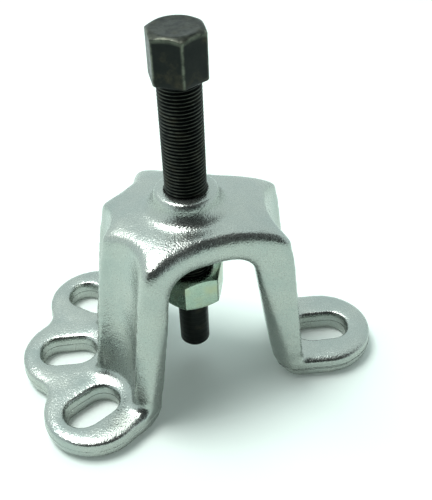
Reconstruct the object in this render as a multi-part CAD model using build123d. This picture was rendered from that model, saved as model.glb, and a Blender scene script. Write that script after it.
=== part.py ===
from build123d import *
from math import cos, sin, radians, sqrt, tan
import os

# Front wheel hub puller: forged yoke, forcing screw with a turned point, loose hex nut.
# Millimetres. The screw axis is Z, the feet stand on Z = 0, the single foot points along +X.

# ---- screw thread: 5/8-18 UNF
THREAD_D = 15.875
PITCH = 25.4 / 18
THREAD_DEPTH = 0.61343 * PITCH
RUNNING_GAP = 0.05

# ---- forcing screw, heights above the base plane
HEAD_AF = 19.05
HEAD_BOTTOM = 133.3
HEAD_HEIGHT = 17.9
HEAD_CHAMFER_R = 9.1
THREAD_END = 38.4
POINT_R = 6.15
CONE_TOP = 11.45
TIP_Z = 5.4

# ---- loose nut
NUT_AF = 23.81
NUT_HEIGHT = 13.9
NUT_BOTTOM = 37.2
NUT_CHAMFER_R = 11.75

# Angle of a corner of each hexagon about the screw axis, in degrees.
HEAD_TURN = -83.4
NUT_TURN = -104.5

# ---- yoke
FLANGE_T = 9.9
SLOT_R_IN = 49.95
SLOT_R_OUT = 58.35
SLOT_W = 14.7
LOBE_R = 20.35
LOBE_CENTRE = 53.0
LOBE_ANGLES = (144, 180, 216)
FOOT_CENTRE = 55.0
WAIST_FILLET = 9.0
CEILING = 66.9
BOSS_TOP_R = 12.0
BOSS_TOP_Z = 88.3
BOSS_NECK = (12.7, 85.2)
BOSS_SWEEP = (14.82, 81.73)
BOSS_FOOT = (18.5, 80.1)
CROWN_R = 48.0
CROWN_EDGE_Z = 69.9
CROWN_MID = (27.0, 79.2)

# Ribs between the socket flutes of the left leg, and the innermost line of each flute.
RIB_BASE = [(-28.9, -36.0), (-47.3, -15.4)]
RIB_TOP = [(-19.8, -33.8), (-33.8, -11.2)]
FRONT_BASE = (-16.5, -41.0)
FRONT_TOP = (-9.0, -35.6)
FLUTE_BASE_R = 38.2
FLUTE_TOP_R = 28.8
FOOT_FLUTE_TOP_R = 30.0
FOOT_RIB_BASE = (47.2, -20.9)
FOOT_RIB_TOP = (39.6, -20.9)
STAR_TOP = 81.0

# Plan of the waist in front of the screw, from the first lobe to the foot.
WAIST = [(-28.49, -45.54), (-22.4, -40.7), (-12.1, -33.4), (-4.7, -28.6),
         (2.7, -25.1), (10.0, -22.9), (18.0, -21.3), (28.0, -20.35)]

# Arch under the plate: the left wall is a long arc, the right wall is flat.
LEFT_WALL_R = 45.5
LEFT_IN_BASE = -29.6
LEFT_IN_TOP = -21.4
RIGHT_IN_BASE = 32.6
RIGHT_IN_TOP = 22.4
CEILING_FILLET = 9.0
LEFT_SOLE_FILLET = 8.0
RIGHT_SOLE_FILLET = 13.0
SOLE_RUNOUT = 18.0

# Bevels that widen towards the soles where the arch meets the front and the back of each leg:
# two points across the bevel low down, one where it runs out, and a box round the leg's corner.
LEFT_BEVEL = [(-19.5, -38.7, 20.0), (-13.9, -31.6, 20.0), (-11.0, -32.5, 52.0)]
LEFT_BEVEL_BOX = [(-40, -60, -1), (0, -20, 52)]
RIGHT_BEVEL = [(35.1, -20.35, 20.0), (29.5, -14.9, 20.0), (25.35, -20.35, 60.0)]
RIGHT_BEVEL_BOX = [(20, -40, -1), (50, -5, 60)]

ARCH_EDGE_FILLET = 3.2
RIB_FILLET = 1.8
CORNER_FILLET = 3.0
STAR_FILLET = 1.8
FLANGE_FILLET = 1.4
SLOT_FILLET = 1.6
BOSS_TOP_FILLET = 1.4


def polar(r, deg):
    return (r * cos(radians(deg)), r * sin(radians(deg)))


def mirror_y(p):
    return (p[0], -p[1])


def star_section(z, ribs, front, foot_rib, left_r, right_r):
    """Outside of both legs at one height: three flutes on the left, one on the right."""
    rib1, rib2 = ribs
    with BuildSketch(Plane.XY.offset(z)) as sk:
        with BuildLine():
            ThreePointArc(rib1, polar(left_r, 216), rib2)
            ThreePointArc(rib2, (-left_r, 0), mirror_y(rib2))
            ThreePointArc(mirror_y(rib2), polar(left_r, 144), mirror_y(rib1))
            Polyline(mirror_y(rib1), mirror_y(front), mirror_y(foot_rib))
            ThreePointArc(mirror_y(foot_rib), (right_r, 0), foot_rib)
            Polyline(foot_rib, front, rib1)
        make_face()
    return sk.sketch.face()


def plan():
    """Outline of the whole yoke seen from above."""
    sk = Sketch()
    for a in LOBE_ANGLES:
        sk += Pos(*polar(LOBE_CENTRE, a)) * Circle(LOBE_R)
    sk += make_face(Polyline(WAIST[0], (-40, -45), (-62, -15), (-62, 15), (-40, 45),
                             mirror_y(WAIST[0]), close=True))
    waists = [v for v in sk.vertices() if v.X < -50 and abs(v.Y) > 5]
    sk = fillet(waists, WAIST_FILLET)
    with BuildSketch() as middle:
        with BuildLine():
            Spline(*WAIST, tangents=((1, 1), (1, 0)))
            Line(WAIST[-1], (FOOT_CENTRE, -LOBE_R))
            ThreePointArc((FOOT_CENTRE, -LOBE_R), (FOOT_CENTRE + LOBE_R, 0), (FOOT_CENTRE, LOBE_R))
            Line((FOOT_CENTRE, LOBE_R), mirror_y(WAIST[-1]))
            Spline(*[mirror_y(p) for p in reversed(WAIST)], tangents=((-1, 0), (-1, 1)))
            Line(mirror_y(WAIST[0]), WAIST[0])
        make_face()
    return sk + middle.sketch


def arch_profile(base, top, middle, sole_radius):
    """Half of the arch seen from the front, with its rounded ceiling corner and sole."""
    out = SOLE_RUNOUT if base > 0 else -SOLE_RUNOUT
    face = make_face(Plane.XZ * Polyline(
        (middle, CEILING), (top, CEILING), (base, 0), (base + out, 0), (base + out, -2),
        (middle, -2), close=True))
    ceiling_corner = face.vertices().sort_by(lambda v: abs(v.X - top) + abs(v.Z - CEILING))[0]
    face = fillet(ceiling_corner, CEILING_FILLET)
    sole_corner = face.vertices().sort_by(lambda v: abs(v.X - base) + abs(v.Z))[0]
    return fillet(sole_corner, sole_radius)


def arch():
    """Space between the legs, open to the front and the back."""
    centre = LEFT_IN_BASE + LEFT_WALL_R
    wall = arch_profile(LEFT_IN_BASE, LEFT_IN_TOP, centre, LEFT_SOLE_FILLET)
    left = revolve(wall, Axis((centre, 0, 0), (0, 0, 1)))
    left = left & (Pos(5, 0, 0) * Box(200, 200, 200, align=(Align.MAX, Align.CENTER, Align.CENTER)))
    right = extrude(arch_profile(RIGHT_IN_BASE, RIGHT_IN_TOP, 5, RIGHT_SOLE_FILLET), 60, both=True)
    return left + right


def bevel(across, corners):
    """Wedge in front of the plane through three points, inside a box."""
    a, b, c = [Vector(*p) for p in across]
    normal = (b - a).cross(c - a).normalized()
    if normal.Y > 0:
        normal = -normal
    low, high = [Vector(*p) for p in corners]
    span = high - low
    box = Pos(*low) * Box(span.X, span.Y, span.Z, align=(Align.MIN, Align.MIN, Align.MIN))
    ahead = Plane(origin=a, z_dir=normal) * Box(200, 200, 60, align=(Align.CENTER, Align.CENTER, Align.MIN))
    return box & ahead


def slot_at(angle):
    """Radial slot cutter, round ends on the two bolt circles."""
    mid = (SLOT_R_IN + SLOT_R_OUT) / 2
    where = Plane.XY.offset(-1) * Rot(0, 0, angle) * Pos(mid, 0, 0)
    return extrude(where * SlotCenterToCenter(SLOT_R_OUT - SLOT_R_IN, SLOT_W), FLANGE_T + 2)


def crown():
    """Everything below the domed top of the plate and the boss."""
    with BuildSketch(Plane.XZ) as half:
        with BuildLine():
            Polyline(BOSS_NECK, (BOSS_TOP_R, BOSS_TOP_Z), (0, BOSS_TOP_Z),
                     (0, -1), (80, -1), (80, CROWN_EDGE_Z - 20), (CROWN_R, CROWN_EDGE_Z))
            ThreePointArc((CROWN_R, CROWN_EDGE_Z), CROWN_MID, BOSS_FOOT)
            ThreePointArc(BOSS_FOOT, BOSS_SWEEP, BOSS_NECK)
        make_face()
    return revolve(half.sketch, Axis.Z)


def at_height(e, z):
    return all(abs(v.Z - z) < 0.05 for v in e.vertices())


def rise(e):
    heights = [v.Z for v in e.vertices()]
    return max(heights) - min(heights)


def axis_distance(e):
    """Distance of an edge's middle from the screw axis."""
    p = e @ 0.5
    return sqrt(p.X**2 + p.Y**2)


def rough_yoke():
    """Legs, plate, boss and flange before the edges are rounded and the slots cut."""
    outline = plan()
    star = loft([
        star_section(0, RIB_BASE, FRONT_BASE, FOOT_RIB_BASE, FLUTE_BASE_R, FLUTE_BASE_R),
        star_section(STAR_TOP, RIB_TOP, FRONT_TOP, FOOT_RIB_TOP, FLUTE_TOP_R, FOOT_FLUTE_TOP_R)],
        ruled=True)
    body = star & extrude(outline, 100)
    corners = [e for e in body.edges() if rise(e) > 75 and abs(e.center().X + 18) < 1]
    body = fillet(corners, CORNER_FILLET)
    ribs = [e for e in body.edges() if rise(e) > 75 and (e.center().X < -20 or e.center().X > 35)]
    body = fillet(ribs, RIB_FILLET)
    body += Pos(0, 0, CEILING + 5) * Cylinder(
        BOSS_FOOT[0] + 0.5, 20, align=(Align.CENTER, Align.CENTER, Align.MIN))
    flange = extrude(outline, FLANGE_T)
    body += fillet(flange.faces().sort_by(Axis.Z)[-1].edges(), FLANGE_FILLET)
    body = body & crown()
    body -= arch()
    return body - Pos(0, 0, CEILING - 5) * Cylinder(
        THREAD_D / 2 + RUNNING_GAP, 40, align=(Align.CENTER, Align.CENTER, Align.MIN))


def bounds_arch(e):
    """True for an edge where the arch meets the front or the back of the yoke."""
    p = e @ 0.5
    upright = abs((e @ 0).X - (e @ 1).X) < 0.5
    under_plate = abs(p.Y) > 19 and 5 < p.Z < CEILING + 1 and -18.1 < p.X < 36
    return under_plate and not upright and (p.Z > 60 or rise(e) > 15)


def make_yoke():
    body = rough_yoke()
    body = fillet([e for e in body.edges() if bounds_arch(e)], ARCH_EDGE_FILLET)
    boss_top = [e for e in body.edges() if at_height(e, BOSS_TOP_Z) and axis_distance(e) > 9]
    body = fillet(boss_top, BOSS_TOP_FILLET)
    star_edge = [e for e in body.edges()
                 if min(v.Z for v in e.vertices()) > 73 and rise(e) < 6 and axis_distance(e) > 24]
    body = fillet(star_edge, STAR_FILLET)
    for wedge in (bevel(LEFT_BEVEL, LEFT_BEVEL_BOX), bevel(RIGHT_BEVEL, RIGHT_BEVEL_BOX)):
        body -= wedge
        body -= mirror(wedge, about=Plane.XZ)
    for a in (0,) + LOBE_ANGLES:
        body -= slot_at(a)
        lips = [e for e in body.edges() if at_height(e, FLANGE_T) and in_slot(e, a)]
        body = fillet(lips, SLOT_FILLET)
    return body


def in_slot(e, angle):
    """True for an edge that lies on the wall of the slot at this angle."""
    p = Rot(0, 0, -angle) * Pos(e @ 0.5)
    x, y = p.position.X, p.position.Y
    near_x = SLOT_R_IN - SLOT_W / 2 - 0.05 < x < SLOT_R_OUT + SLOT_W / 2 + 0.05
    return near_x and abs(y) < SLOT_W / 2 + 0.05


def hexagon(af):
    return RegularPolygon(af / sqrt(3), 6, major_radius=True)


def chamfered_hex(af, z0, height, flat_r, both):
    """Hexagon prism whose corners are turned back by a 30 degree cone."""
    big = af / sqrt(3) + 1
    drop = (big - flat_r) * tan(radians(30))
    pts = [Vector(0, 0, z0 + height), Vector(flat_r, 0, z0 + height),
           Vector(big, 0, z0 + height - drop)]
    if both:
        pts += [Vector(big, 0, z0 + drop), Vector(flat_r, 0, z0)]
    else:
        pts += [Vector(big, 0, z0)]
    pts += [Vector(0, 0, z0)]
    cone = revolve(make_face(Polyline(*pts, close=True)), Axis.Z)
    prism = extrude(Plane.XY.offset(z0) * hexagon(af), height)
    return prism & cone


def make_screw():
    """Hex head and threaded shank; the thread is drawn as rings at the true pitch."""
    r = THREAD_D / 2
    root = r - THREAD_DEPTH
    neck = HEAD_BOTTOM - 1.2
    pts = [Vector(0, 0, HEAD_BOTTOM + 2), Vector(root, 0, HEAD_BOTTOM + 2), Vector(root, 0, neck)]
    z = neck
    while z - PITCH > THREAD_END + 1.9:
        pts.append(Vector(r, 0, z - PITCH * 0.44))
        pts.append(Vector(r, 0, z - PITCH * 0.56))
        pts.append(Vector(root, 0, z - PITCH * 0.95))
        z -= PITCH
        pts.append(Vector(root, 0, z))
    pts += [Vector(root, 0, THREAD_END + 0.9), Vector(POINT_R, 0, THREAD_END), Vector(0, 0, THREAD_END)]
    shank = revolve(make_face(Polyline(*pts, close=True)), Axis.Z)
    head = chamfered_hex(HEAD_AF, HEAD_BOTTOM, HEAD_HEIGHT, HEAD_CHAMFER_R, False)
    return shank + Rot(0, 0, HEAD_TURN) * head


def make_point():
    """Plain turned end of the screw with a 90 degree cone."""
    return revolve(make_face(Polyline(
        Vector(0, 0, THREAD_END), Vector(POINT_R, 0, THREAD_END),
        Vector(POINT_R, 0, CONE_TOP), Vector(0, 0, TIP_Z), close=True)), Axis.Z)


def make_nut():
    body = Rot(0, 0, NUT_TURN) * chamfered_hex(NUT_AF, NUT_BOTTOM, NUT_HEIGHT, NUT_CHAMFER_R, True)
    hole = Pos(0, 0, NUT_BOTTOM - 1) * Cylinder(
        THREAD_D / 2 + RUNNING_GAP, NUT_HEIGHT + 2, align=(Align.CENTER, Align.CENTER, Align.MIN))
    return body - hole


os.makedirs("parts", exist_ok=True)
for name, solid in (("yoke", make_yoke()), ("forcing_screw", make_screw()),
                    ("screw_point", make_point()), ("hex_nut", make_nut())):
    export_step(solid, "parts/" + name + ".step")
    box = solid.bounding_box()
    print(name, "volume", round(solid.volume, 1), "solids", len(solid.solids()), box)
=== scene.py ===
"""Front wheel hub puller: forged zinc-plated yoke, black-oxide forcing screw, loose zinc nut."""
from math import cos, pi, radians, sin, sqrt, tan

import bmesh
import bpy
import numpy as np
from mathutils import Matrix, Vector, noise


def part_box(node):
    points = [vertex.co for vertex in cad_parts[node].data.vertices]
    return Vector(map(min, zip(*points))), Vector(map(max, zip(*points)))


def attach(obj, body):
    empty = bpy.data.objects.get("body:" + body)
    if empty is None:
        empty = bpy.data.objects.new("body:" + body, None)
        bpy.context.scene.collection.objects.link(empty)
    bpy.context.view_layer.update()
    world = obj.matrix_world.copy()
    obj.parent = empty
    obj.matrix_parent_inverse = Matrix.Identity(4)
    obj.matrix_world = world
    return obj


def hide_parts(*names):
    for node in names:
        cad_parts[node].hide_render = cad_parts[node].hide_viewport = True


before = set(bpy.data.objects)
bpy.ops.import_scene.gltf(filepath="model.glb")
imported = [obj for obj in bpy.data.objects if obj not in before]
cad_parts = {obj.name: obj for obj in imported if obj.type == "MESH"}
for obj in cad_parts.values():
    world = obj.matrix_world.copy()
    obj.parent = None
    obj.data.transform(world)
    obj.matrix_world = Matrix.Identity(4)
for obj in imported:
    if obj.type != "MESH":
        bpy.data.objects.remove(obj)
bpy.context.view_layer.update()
MM = 0.001

# ---------------------------------------------------------------- sizes, in millimetres
PITCH = 25.4 / 18
THREAD_R = 15.875 / 2
THREAD_DEPTH = 0.61343 * PITCH
BORE_R = THREAD_R + 0.05
VOXEL = 0.7
EVEN_PASSES = 13
SOFT_PASSES = 46
BROW_PASSES = 60
FLANGE_TOP = 9.9
PLATE_EDGE_Z = 68.0
SLOT_INNER = 49.95
SLOT_OUTER = 58.35
SLOT_HALF = 7.35
SLOT_ANGLES = (0, 144, 180, 216)
FLASH_Z = 5.2

HEAD_AF = 19.05
HEAD_BOTTOM = 133.3
HEAD_TOP = 151.2
HEAD_FLAT_R = 8.6
HEAD_TURN = -83.4
HEAD_CORNER = 1.3
THREAD_END = 38.4
POINT_R = 6.15
CONE_TOP = 11.45
TIP_Z = 5.4

NUT_AF = 23.81
NUT_BOTTOM = 37.2
NUT_TOP = 51.1
NUT_FLAT_R = 11.3
NUT_TURN = -104.5
NUT_CORNER = 0.7

# ---------------------------------------------------------------- camera, in millimetres and degrees
CAMERA_TARGET = Vector((10.3, 0.0, 57.0))
CAMERA_AZIMUTH = -4.65
CAMERA_ELEVATION = 39.35
CAMERA_DISTANCE = 325.5
CAMERA_ROLL = -2.24
CAMERA_LENS = 59.6

# ---------------------------------------------------------------- light
ROOM_LIGHT = 1.08
ROOM_DIM = 0.03
ROOM_TINT = (0.87, 1.0, 1.0)
GLOW_SIDE = (-0.19, 0.34, 0.91)
GLOW_LIGHT = 0.42


# ---------------------------------------------------------------- mesh helpers
def new_object(name, mesh):
    piece = bpy.data.objects.new(name, mesh)
    bpy.context.scene.collection.objects.link(piece)
    return piece


def fitted(piece, body, node, mat):
    """Ride a piece on its body, in the place of a CAD node, with one material."""
    piece.data.materials.clear()
    piece.data.materials.append(mat)
    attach(piece, body)
    if node:
        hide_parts(node)
    return piece


def smooth_shaded(mesh):
    mesh.polygons.foreach_set("use_smooth", [True] * len(mesh.polygons))
    return mesh


def ramp(x, lo, hi):
    """0 below lo, 1 above hi, smooth between."""
    t = np.clip((x - lo) / (hi - lo), 0, 1)
    return t * t * (3 - 2 * t)


def band(x, a, b, c, d):
    return ramp(x, a, b) * (1 - ramp(x, c, d))


def points(mesh):
    co = np.empty(len(mesh.vertices) * 3)
    mesh.vertices.foreach_get("co", co)
    return co.reshape(-1, 3) / MM


def set_points(mesh, co):
    mesh.vertices.foreach_set("co", (co * MM).ravel())
    mesh.update()


def normals(mesh):
    no = np.empty(len(mesh.vertices) * 3, np.float32)
    mesh.vertices.foreach_get("normal", no)
    return no.reshape(-1, 3)


def relax(co, edges, weight, passes):
    """Laplacian smoothing with a weight per vertex."""
    a, b = edges[:, 0], edges[:, 1]
    n = len(co)
    count = np.bincount(a, minlength=n) + np.bincount(b, minlength=n)
    step = (0.5 * weight / np.maximum(count, 1))[:, None]
    for _ in range(passes):
        total = np.empty_like(co)
        for k in range(3):
            total[:, k] = np.bincount(a, co[b, k], n) + np.bincount(b, co[a, k], n)
        co = co + step * (total - count[:, None] * co)
    return co


def revolved_grid(name, rings, steps, cap_top=True, cap_bottom=True):
    """Mesh from rings of equal length; each ring is an array of points round the axis."""
    verts = [tuple(p * MM) for ring in rings for p in ring]
    faces = []
    for i in range(len(rings) - 1):
        for j in range(steps):
            k = (j + 1) % steps
            faces.append((i * steps + j, i * steps + k, (i + 1) * steps + k, (i + 1) * steps + j))
    if cap_bottom:
        faces.append(tuple(reversed(range(steps))))
    if cap_top:
        last = (len(rings) - 1) * steps
        faces.append(tuple(range(last, last + steps)))
    mesh = bpy.data.meshes.new(name)
    mesh.from_pydata(verts, [], faces)
    mesh.validate()
    mesh.update()
    return smooth_shaded(mesh)


# ---------------------------------------------------------------- yoke
def slot_distance(co):
    """Distance in plan from the wall of the nearest slot."""
    best = np.full(len(co), 1e9)
    for a in SLOT_ANGLES:
        ux, uy = cos(radians(a)), sin(radians(a))
        along = co[:, 0] * ux + co[:, 1] * uy
        across = -co[:, 0] * uy + co[:, 1] * ux
        t = np.clip(along, SLOT_INNER, SLOT_OUTER)
        best = np.minimum(best, np.abs(np.hypot(along - t, across) - SLOT_HALF))
    return best


def softness(co):
    """Where the forging is rounder than its CAD edges: leg roots, plate edges, arch edges."""
    x, y, z = co.T
    radius = np.hypot(x, y)
    root = band(z, FLANGE_TOP - 1.2, FLANGE_TOP + 0.2, 11.5, 16) * ramp(slot_distance(co), 0.6, 2.6)
    plate = ramp(z, PLATE_EDGE_Z - 4, PLATE_EDGE_Z + 2) * ramp(radius, 17, 21)
    arch = ramp(np.abs(y), 17, 20) * band(x, -22, -16, 34, 38) * ramp(z, 1, 6)
    arch = arch * (0.4 + 0.6 * ramp(z, 54, 62))
    return np.clip(np.maximum.reduce([root, plate, arch]), 0, 1)


def brow(co):
    """Broad rounding where the plate turns down over the arch, front and back."""
    x, y, z = co.T
    over_arch = ramp(np.abs(y), 18, 22) * band(x, -30, -22, 30, 38) * ramp(z, 60, 66)
    return over_arch * ramp(np.hypot(x, y), 21, 24)


def uneven(co, no):
    """Slight waviness left by the dies."""
    move = np.empty(len(co))
    for i, p in enumerate(co):
        q = Vector(p)
        move[i] = 0.10 * noise.noise(q * 0.11) + 0.05 * noise.noise(q * 0.33)
    return co + no * move[:, None]


def forged_yoke():
    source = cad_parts["yoke"]
    bm = bmesh.new()
    bm.from_mesh(source.data)
    bmesh.ops.remove_doubles(bm, verts=bm.verts, dist=0.002 * MM)
    mesh = bpy.data.meshes.new("yoke_skin")
    bm.to_mesh(mesh)
    bm.free()
    piece = new_object("forged_yoke", mesh)
    skin = piece.modifiers.new("skin", "REMESH")
    skin.mode = "VOXEL"
    skin.voxel_size = VOXEL * MM
    graph = bpy.context.evaluated_depsgraph_get()
    mesh = bpy.data.meshes.new_from_object(piece.evaluated_get(graph))
    piece.modifiers.clear()
    piece.data = mesh

    co = points(mesh)
    edges = np.empty(len(mesh.edges) * 2, np.int64)
    mesh.edges.foreach_get("vertices", edges)
    edges = edges.reshape(-1, 2)
    radius = np.hypot(co[:, 0], co[:, 1])
    bore = (np.abs(radius - BORE_R) < 0.75 * VOXEL) & (co[:, 2] > 60)
    free = np.where(bore, 0.0, 1.0)
    co[bore, :2] *= (BORE_R / radius[bore])[:, None]
    co = relax(co, edges, free, EVEN_PASSES)
    co = relax(co, edges, free * softness(co), SOFT_PASSES)
    co = relax(co, edges, free * brow(co), BROW_PASSES)
    set_points(mesh, co)
    co = uneven(co, normals(mesh) * free[:, None])
    low, high = (np.array(c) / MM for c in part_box("yoke"))
    set_points(mesh, np.clip(co, low, high))
    return smooth_shaded(mesh), piece


def section_loops(mesh, z):
    """Closed loops where a level plane cuts the mesh, each an array of x, y."""
    bm = bmesh.new()
    bm.from_mesh(mesh)
    cut = bmesh.ops.bisect_plane(bm, geom=bm.verts[:] + bm.edges[:] + bm.faces[:],
                                 plane_co=(0, 0, z * MM), plane_no=(0, 0, 1))
    links = {}
    for e in cut["geom_cut"]:
        if isinstance(e, bmesh.types.BMEdge):
            p, q = e.verts
            links.setdefault(p, []).append(q)
            links.setdefault(q, []).append(p)
    loops = []
    while links:
        start = next(iter(links))
        loop, here = [], start
        while here in links:
            loop.append((here.co.x / MM, here.co.y / MM))
            steps = links.pop(here)
            here = next((v for v in steps if v in links), None)
        if len(loop) > 12:
            loops.append(np.array(loop))
    bm.free()
    return loops


def flash_line(mesh):
    """Low ridge left where the two forging dies met."""
    verts, faces = [], []
    low, high = (np.array(c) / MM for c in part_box("yoke"))
    for loop in section_loops(mesh, FLASH_Z):
        nxt = np.roll(loop, -1, axis=0)
        prev = np.roll(loop, 1, axis=0)
        tangent = nxt - prev
        tangent /= np.maximum(np.linalg.norm(tangent, axis=1), 1e-9)[:, None]
        out = np.stack([tangent[:, 1], -tangent[:, 0]], 1)
        area = 0.5 * np.sum(loop[:, 0] * nxt[:, 1] - nxt[:, 0] * loop[:, 1])
        is_slot = abs(np.hypot(*loop.mean(0)) - (SLOT_INNER + SLOT_OUTER) / 2) < 2
        if (area < 0) != is_slot:
            out = -out
        base = len(verts)
        n = len(loop)
        for height, dz in ((-0.12, -0.34), (0.13, -0.08), (0.13, 0.08), (-0.12, 0.34)):
            ring = loop + out * height
            ring = np.clip(ring, low[:2], high[:2])
            verts += [(p[0] * MM, p[1] * MM, (FLASH_Z + dz) * MM) for p in ring]
        for k in range(3):
            for j in range(n):
                i = (j + 1) % n
                faces.append((base + k * n + j, base + k * n + i,
                              base + (k + 1) * n + i, base + (k + 1) * n + j))
    out_mesh = bpy.data.meshes.new("flash_line")
    out_mesh.from_pydata(verts, [], faces)
    bm = bmesh.new()
    bm.from_mesh(out_mesh)
    bmesh.ops.recalc_face_normals(bm, faces=bm.faces)
    bm.to_mesh(out_mesh)
    bm.free()
    return smooth_shaded(out_mesh)


# ---------------------------------------------------------------- hexagons
def hex_radius(angle, across_flats, corner):
    """Distance from the axis to the side of a hexagon with rounded corners."""
    flat = across_flats / 2
    turn = (angle + pi / 6) % (pi / 3) - pi / 6
    away = pi / 6 - abs(turn)
    straight = flat / cos(away)
    centre = (flat - corner) / cos(pi / 6)
    reach = centre * cos(turn) + sqrt(max(corner ** 2 - (centre * sin(turn)) ** 2, 0))
    limit = corner * tan(pi / 6)
    along = flat * tan(away)
    return reach if flat * tan(pi / 6) - along < limit else straight


def ring_at(radii, heights, angles):
    return np.stack([radii * np.cos(angles), radii * np.sin(angles), heights], 1)


def hex_rings(across_flats, corner, turn, bottom, top, flat_r, steps, both_ends, bevel):
    """Rings from the lower edge to the upper flat of a hexagon turned back by a 30 degree cone."""
    angles = np.linspace(0, 2 * pi, steps, endpoint=False)
    radii = np.array([hex_radius(a - radians(turn), across_flats, corner) for a in angles])
    slope = tan(radians(30))
    drop = (radii - flat_r) * slope

    def end(level, sign):
        rows = []
        for inward in (0.0, 0.12, 0.35, 1.0):
            r = np.minimum(radii, radii - inward * bevel)
            z = level - sign * np.where(inward > 0, np.maximum(r - flat_r, 0) * slope, drop + bevel * 0.6)
            if 0 < inward < 1:
                z = z - sign * bevel * 0.25 * (1 - inward)
            rows.append(ring_at(r, z, angles))
        for share in (0.35, 0.7):
            r = radii - bevel - (radii - bevel - flat_r) * share
            rows.append(ring_at(r, level - sign * np.maximum(r - flat_r, 0) * slope, angles))
        rows.append(ring_at(np.full(steps, flat_r), np.full(steps, level - sign * 0.04), angles))
        rows.append(ring_at(np.full(steps, flat_r - 0.25), np.full(steps, level), angles))
        return rows

    if both_ends:
        lower = list(reversed(end(bottom, -1)))
    else:
        lower = [ring_at(radii - 0.6, np.full(steps, bottom), angles),
                 ring_at(radii - 0.25, np.full(steps, bottom + 0.06), angles),
                 ring_at(radii, np.full(steps, bottom + 0.4), angles)]
    middle_low = lower[-1][:, 2]
    upper = end(top, 1)
    middle = [ring_at(radii, middle_low + (upper[0][:, 2] - middle_low) * t, angles)
              for t in (0.08, 0.3, 0.5, 0.7, 0.92)]
    return lower + middle + upper, angles


# ---------------------------------------------------------------- screw
def thread_radius(phase):
    """60 degree thread with a narrow crest and a rounded root; phase runs from 0 to 1."""
    t = np.abs((phase % 1.0) - 0.5) * 2
    flank = np.clip((t - 0.13) / 0.72, 0, 1)
    return THREAD_R - 0.02 - THREAD_DEPTH * (flank - 0.06 * np.sin(2 * pi * flank))


def threaded_shank():
    """True helix from the turned point up to the head, running out at both ends."""
    steps = 60
    angles = np.linspace(0, 2 * pi, steps, endpoint=False)
    top = HEAD_BOTTOM + 0.6
    rings = []
    z = THREAD_END
    while z < top:
        radius = thread_radius(z / PITCH - angles / (2 * pi))
        lead = POINT_R + 0.35 + (z - THREAD_END) * 1.0
        radius = np.minimum(radius, lead)
        blend = ramp(np.array([z]), HEAD_BOTTOM - 2.4, HEAD_BOTTOM - 0.6)[0]
        radius = radius * (1 - blend) + (THREAD_R - 0.35) * blend
        rings.append(ring_at(radius, np.full(steps, z), angles))
        z += PITCH / 11
    return revolved_grid("shank", rings, steps)


def screw_head():
    steps = 192
    rings, angles = hex_rings(HEAD_AF, HEAD_CORNER, HEAD_TURN, HEAD_BOTTOM, HEAD_TOP,
                              HEAD_FLAT_R, steps, False, 0.5)
    under = [ring_at(np.full(steps, r), np.full(steps, HEAD_BOTTOM + dz), angles)
             for r, dz in ((6.5, 0.0), (8.4, 0.0))]
    dish = [ring_at(np.full(steps, r), np.full(steps, HEAD_TOP - dz), angles)
            for r, dz in ((7.6, 0.03), (6.9, 0.12), (4.0, 0.14), (1.5, 0.14))]
    return revolved_grid("head", under + rings + dish, steps)


def joined(name, *meshes):
    bm = bmesh.new()
    for m in meshes:
        bm.from_mesh(m)
    mesh = bpy.data.meshes.new(name)
    bm.to_mesh(mesh)
    bm.free()
    return smooth_shaded(mesh)


def turned_point():
    """Plain end with a 90 degree cone, rounded shoulder and fine turning rings."""
    steps = 72
    angles = np.linspace(0, 2 * pi, steps, endpoint=False)
    profile = [(POINT_R - 0.02, THREAD_END), (POINT_R - 0.02, THREAD_END - 0.6)]
    z = THREAD_END - 1.2
    while z > CONE_TOP + 1.0:
        wave = 0.035 * sin(z * 5.1) + 0.02 * sin(z * 2.3)
        profile.append((POINT_R - 0.06 + wave, z))
        z -= 0.45
    profile += [(POINT_R - 0.03, CONE_TOP + 0.55), (POINT_R - 0.12, CONE_TOP + 0.2),
                (POINT_R - 0.38, CONE_TOP - 0.12), (POINT_R - 0.9, CONE_TOP - 0.66)]
    r = POINT_R - 1.5
    while r > 0.9:
        profile.append((r, CONE_TOP - (POINT_R - r) + 0.03))
        r -= 0.6
    profile += [(0.75, TIP_Z + 0.8), (0.42, TIP_Z + 0.5), (0.15, TIP_Z + 0.34)]
    rings = [ring_at(np.full(steps, r), np.full(steps, z), angles) for r, z in reversed(profile)]
    return revolved_grid("point", rings, steps)


def nut_mesh():
    steps = 192
    rings, angles = hex_rings(NUT_AF, NUT_CORNER, NUT_TURN, NUT_BOTTOM, NUT_TOP,
                              NUT_FLAT_R, steps, True, 0.3)
    mouth = 9.1
    above = [ring_at(np.full(steps, r), np.full(steps, NUT_TOP - dz), angles)
             for r, dz in ((mouth, 0.0), (mouth - 0.15, 0.1), (BORE_R + 0.2, 0.95), (BORE_R, 1.1))]
    wall = [ring_at(np.full(steps, BORE_R), np.full(steps, z), angles)
            for z in np.linspace(NUT_TOP - 1.3, NUT_BOTTOM + 1.3, 6)]
    below = [ring_at(np.full(steps, r), np.full(steps, NUT_BOTTOM + dz), angles)
             for r, dz in ((BORE_R, 1.1), (BORE_R + 0.2, 0.95), (mouth - 0.15, 0.1), (mouth, 0.0))]
    loop = rings + above + wall + below
    mesh = revolved_grid("nut", loop + [loop[0]], steps, False, False)
    bm = bmesh.new()
    bm.from_mesh(mesh)
    bmesh.ops.remove_doubles(bm, verts=bm.verts, dist=0.001 * MM)
    bm.to_mesh(mesh)
    bm.free()
    return smooth_shaded(mesh)


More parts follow.
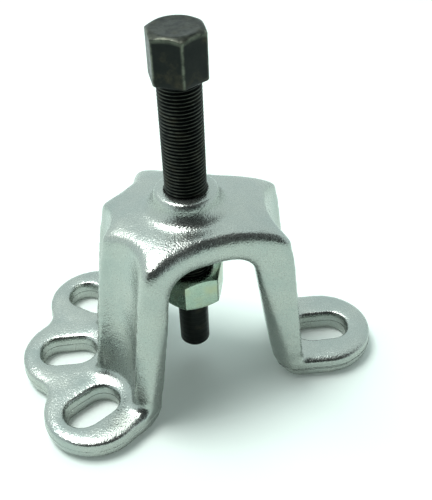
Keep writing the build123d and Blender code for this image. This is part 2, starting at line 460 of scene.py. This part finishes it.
# ---------------------------------------------------------------- materials
class Tree:
    """Small helper for building a node tree."""

    def __init__(self, name):
        self.mat = bpy.data.materials.new(name)
        self.mat.use_nodes = True
        self.tree = self.mat.node_tree
        self.bsdf = self.tree.nodes["Principled BSDF"]
        self.space = self.tree.nodes.new("ShaderNodeTexCoord").outputs["Object"]

    def set(self, socket, value):
        self.bsdf.inputs[socket].default_value = value

    def link(self, source, socket):
        self.tree.links.new(source, socket)

    def noise(self, scale, detail=3, rough=0.55, stretch=(1, 1, 1)):
        where = self.tree.nodes.new("ShaderNodeMapping")
        where.inputs["Scale"].default_value = stretch
        self.link(self.space, where.inputs["Vector"])
        node = self.tree.nodes.new("ShaderNodeTexNoise")
        node.inputs["Scale"].default_value = scale
        node.inputs["Detail"].default_value = detail
        node.inputs["Roughness"].default_value = rough
        self.link(where.outputs[0], node.inputs["Vector"])
        return node.outputs["Fac"]

    def cells(self, scale):
        node = self.tree.nodes.new("ShaderNodeTexVoronoi")
        node.inputs["Scale"].default_value = scale
        self.link(self.space, node.inputs["Vector"])
        return node.outputs["Distance"]

    def spread(self, source, lo, hi, out_lo, out_hi):
        node = self.tree.nodes.new("ShaderNodeMapRange")
        for socket, value in (("From Min", lo), ("From Max", hi), ("To Min", out_lo), ("To Max", out_hi)):
            node.inputs[socket].default_value = value
        self.link(source, node.inputs["Value"])
        return node.outputs["Result"]

    def math(self, kind, a, b):
        node = self.tree.nodes.new("ShaderNodeMath")
        node.operation = kind
        for socket, value in zip(node.inputs, (a, b)):
            if isinstance(value, (int, float)):
                socket.default_value = value
            else:
                self.link(value, socket)
        return node.outputs[0]

    def colors(self, source, stops):
        node = self.tree.nodes.new("ShaderNodeValToRGB")
        ramp_ = node.color_ramp
        while len(ramp_.elements) < len(stops):
            ramp_.elements.new(0.5)
        for element, (at, color) in zip(ramp_.elements, stops):
            element.position = at
            element.color = (*color, 1)
        self.link(source, node.inputs["Fac"])
        return node.outputs["Color"]

    def mix(self, share, a, b):
        node = self.tree.nodes.new("ShaderNodeMix")
        node.data_type = "RGBA"
        for socket, value in ((node.inputs[0], share), (node.inputs[6], a), (node.inputs[7], b)):
            if isinstance(value, (int, float)):
                socket.default_value = value
            elif isinstance(value, tuple):
                socket.default_value = (*value, 1)
            else:
                self.link(value, socket)
        return node.outputs[2]

    def attribute(self, name):
        node = self.tree.nodes.new("ShaderNodeAttribute")
        node.attribute_name = name
        return node.outputs["Fac"]

    def bump(self, layers):
        """Chain of bumps: height source, strength, distance in millimetres."""
        last = None
        for source, strength, distance in layers:
            node = self.tree.nodes.new("ShaderNodeBump")
            node.inputs["Strength"].default_value = strength
            node.inputs["Distance"].default_value = distance * MM
            self.link(source, node.inputs["Height"])
            if last:
                self.link(last, node.inputs["Normal"])
            last = node.outputs["Normal"]
        self.link(last, self.bsdf.inputs["Normal"])


def zinc_forging():
    """Bright zinc plating over a shot-blasted forging."""
    t = Tree("zinc_forging")
    t.set("Metallic", 0.93)
    grain = t.noise(1500, 2, 0.6)
    pits = t.cells(1150)
    patches = t.noise(70, 3)
    tone = t.colors(patches, [(0.3, (0.405, 0.455, 0.425)), (0.5, (0.445, 0.48, 0.445)),
                              (0.7, (0.48, 0.51, 0.465))])
    fleck = t.spread(t.noise(2300, 2, 0.7), 0.3, 0.72, 0.78, 1.08)
    t.link(t.mix(t.spread(fleck, 0.78, 1.08, 0.45, 0.0), tone, (0.21, 0.24, 0.225)),
           t.bsdf.inputs["Base Color"])
    rough = t.math("ADD", t.spread(patches, 0.3, 0.7, 0.20, 0.29), t.spread(grain, 0.3, 0.7, -0.05, 0.06))
    t.link(rough, t.bsdf.inputs["Roughness"])
    t.bump([(patches, 0.5, 0.12), (pits, 0.7, 0.07), (grain, 1.0, 0.11)])
    return t.mat


def black_oxide():
    """Black oxide on machined steel, rubbed brown and grey on the edges; the pale edge colour is partly
    real rubbing and partly painted highlight along the head's edges, chamfer and thread crests.
    """
    t = Tree("black_oxide")
    t.set("Metallic", 0.75)
    t.set("Specular IOR Level", 0.3)
    grain = t.noise(900, 3, 0.6)
    patches = t.noise(160, 4, 0.6)
    tone = t.colors(patches, [(0.3, (0.006, 0.0085, 0.008)), (0.55, (0.0105, 0.013, 0.0115)),
                              (0.72, (0.034, 0.032, 0.021))])
    # The pale grey-brown mixed in by this value is rubbed metal on the edges and also a painted highlight
    # along the head's edges, chamfer rim and thread crests.
    worn_and_highlit = t.attribute("wear_and_highlight")
    scuffed_and_highlit = t.math("MULTIPLY", worn_and_highlit, t.spread(t.noise(420, 3), 0.35, 0.6, 0.25, 1.0))
    t.link(t.mix(scuffed_and_highlit, tone, (0.16, 0.175, 0.135)), t.bsdf.inputs["Base Color"])
    rough = t.math("ADD", t.spread(patches, 0.3, 0.7, 0.33, 0.46), t.spread(grain, 0.3, 0.7, -0.05, 0.07))
    t.link(rough, t.bsdf.inputs["Roughness"])
    t.bump([(patches, 0.4, 0.10), (grain, 0.55, 0.05)])
    return t.mat


def zinc_nut():
    """Pale yellow-green passivated zinc, smoother than the forging."""
    t = Tree("zinc_nut")
    t.set("Metallic", 1.0)
    patches = t.noise(120, 3)
    grain = t.noise(1300, 3, 0.6)
    drag = t.noise(500, 2, 0.5, (1, 1, 0.12))
    tone = t.colors(patches, [(0.3, (0.33, 0.45, 0.36)), (0.5, (0.38, 0.48, 0.39)),
                              (0.72, (0.45, 0.50, 0.34))])
    t.link(t.mix(t.spread(drag, 0.35, 0.65, 0.22, 0.0), tone, (0.28, 0.34, 0.28)),
           t.bsdf.inputs["Base Color"])
    rough = t.math("ADD", t.spread(patches, 0.3, 0.7, 0.22, 0.32), t.spread(grain, 0.3, 0.7, -0.04, 0.05))
    t.link(rough, t.bsdf.inputs["Roughness"])
    t.bump([(patches, 0.3, 0.08), (drag, 0.35, 0.02), (grain, 0.4, 0.03)])
    return t.mat


def mark_wear_and_highlights(mesh, worn_and_highlit):
    """Store how rubbed each vertex is, 0 to 1; on the screw the same value also paints highlights along
    its edges.
    """
    layer = mesh.attributes.new("wear_and_highlight", "FLOAT", "POINT")
    layer.data.foreach_set("value", np.asarray(worn_and_highlit, np.float32))


# Pale marks on the thread crests, hex corners and chamfer rim: partly real rubbing, partly painted
# highlight where these edges catch the light; the head's top face is also made a little paler all over.
def screw_wear_and_highlights(mesh):
    co = points(mesh)
    x, y, z = co.T
    radius = np.hypot(x, y)
    side = np.array([hex_radius(a - radians(HEAD_TURN), HEAD_AF, HEAD_CORNER) for a in np.arctan2(y, x)])
    crest = ramp(radius, THREAD_R - 0.22, THREAD_R - 0.02) * (1 - ramp(z, HEAD_BOTTOM - 1, HEAD_BOTTOM))
    angle = np.arctan2(y, x) - radians(HEAD_TURN)
    corner = np.abs((angle + pi / 6) % (pi / 3) - pi / 6)
    on_head = ramp(z, HEAD_BOTTOM, HEAD_BOTTOM + 0.5)
    edge = (1 - ramp(corner, 0.01, 0.07)) * ramp(radius, 9.6, 10.3) * on_head
    rim_z = HEAD_TOP - (side - HEAD_FLAT_R) * tan(radians(30))
    rim = (1 - ramp(np.abs(z - rim_z), 0.2, 0.7)) * ramp(radius, side - 0.7, side - 0.2)
    above = ramp(z, rim_z, rim_z + 0.5) * on_head
    mark_wear_and_highlights(mesh, np.clip(0.4 * crest + 0.8 * edge + 0.8 * rim * on_head + 0.2 * above, 0, 1))


# ---------------------------------------------------------------- studio
def pale_floor():
    bpy.ops.mesh.primitive_plane_add(size=8, location=(0, 0, 0))
    floor = bpy.context.object
    floor.name = "floor"
    t = Tree("pale_floor")
    t.set("Base Color", (0.86, 0.965, 0.91, 1))
    t.set("Roughness", 0.55)
    t.set("Specular IOR Level", 0.25)
    t.set("Emission Color", (0.93, 1.0, 0.97, 1))
    t.set("Emission Strength", 0.08)
    floor.data.materials.append(t.mat)


def soft_room():
    """Room light with a brighter patch overhead, and dim in front of the object."""
    world = bpy.data.worlds.new("studio")
    bpy.context.scene.world = world
    world.use_nodes = True
    tree = world.node_tree
    nodes, links = tree.nodes, tree.links
    where = nodes.new("ShaderNodeTexCoord").outputs["Generated"]

    def towards(direction, lo, hi, out_lo, out_hi):
        """Smooth step on how far the view direction points along a given direction."""
        dot = nodes.new("ShaderNodeVectorMath")
        dot.operation = "DOT_PRODUCT"
        dot.inputs[1].default_value = direction
        links.new(where, dot.inputs[0])
        step = nodes.new("ShaderNodeMapRange")
        step.interpolation_type = "SMOOTHSTEP"
        for socket, value in (("From Min", lo), ("From Max", hi), ("To Min", out_lo), ("To Max", out_hi)):
            step.inputs[socket].default_value = value
        links.new(dot.outputs["Value"], step.inputs["Value"])
        return step.outputs["Result"]

    def combine(kind, a, b):
        node = nodes.new("ShaderNodeMath")
        node.operation = kind
        for socket, value in zip(node.inputs, (a, b)):
            if isinstance(value, float):
                socket.default_value = value
            else:
                links.new(value, socket)
        return node.outputs[0]

    front = towards((0, -0.985, 0.174), -0.08, 0.12, 0.0, 1.0)
    right = towards((1, 0, 0), 0.60, 0.88, 1.0, 0.0)
    left = towards((-1, 0, 0), 0.50, 0.80, 1.0, 0.0)
    dim = combine("MULTIPLY", front, combine("MULTIPLY", right, left))
    light = combine("SUBTRACT", 1.0, combine("MULTIPLY", dim, 1.0 - ROOM_DIM))
    glow = towards(Vector(GLOW_SIDE).normalized(), 0.92, 1.0, 0.0, GLOW_LIGHT)
    total = combine("ADD", combine("MULTIPLY", light, ROOM_LIGHT), glow)
    background = nodes["Background"]
    background.inputs["Color"].default_value = (*ROOM_TINT, 1)
    links.new(total, background.inputs["Strength"])


def softbox(name, towards, distance, width, height, power):
    data = bpy.data.lights.new(name, "AREA")
    data.shape = "RECTANGLE"
    data.size = width
    data.size_y = height
    data.energy = power
    lamp = new_object(name, data)
    direction = Vector(towards).normalized()
    lamp.matrix_world = (Matrix.Translation(direction * distance)
                         @ direction.to_track_quat("Z", "Y").to_matrix().to_4x4())


def camera():
    az = radians(CAMERA_AZIMUTH)
    el = radians(CAMERA_ELEVATION)
    back = Vector((sin(az) * cos(el), -cos(az) * cos(el), sin(el)))
    data = bpy.data.cameras.new("camera")
    data.sensor_width = 36
    data.lens = CAMERA_LENS
    cam = new_object("camera", data)
    look = back.to_track_quat("Z", "Y").to_matrix().to_4x4()
    roll = Matrix.Rotation(radians(CAMERA_ROLL), 4, "Z")
    where = Matrix.Translation((CAMERA_TARGET + back * CAMERA_DISTANCE) * MM)
    cam.matrix_world = where @ look @ roll
    bpy.context.scene.camera = cam


# ---------------------------------------------------------------- the scene
zinc = zinc_forging()
oxide = black_oxide()
plated = zinc_nut()

skin_mesh, yoke = forged_yoke()
fitted(yoke, "yoke", "yoke", zinc)
fitted(new_object("yoke_flash_line", flash_line(skin_mesh)), "yoke", None, zinc)

screw_mesh = joined("screw", threaded_shank(), screw_head())
screw_wear_and_highlights(screw_mesh)
fitted(new_object("threaded_screw", screw_mesh), "forcing_screw", "forcing_screw", oxide)

point_mesh = turned_point()
mark_wear_and_highlights(point_mesh, np.zeros(len(point_mesh.vertices)))
fitted(new_object("turned_point", point_mesh), "screw_point", "screw_point", oxide)

fitted(new_object("plated_nut", nut_mesh()), "hex_nut", "hex_nut", plated)

pale_floor()
soft_room()
softbox("key", (-0.28, 0.10, 0.95), 1.3, 0.55, 0.55, 12.5)
camera()
bpy.context.scene.view_settings.view_transform = "Standard"
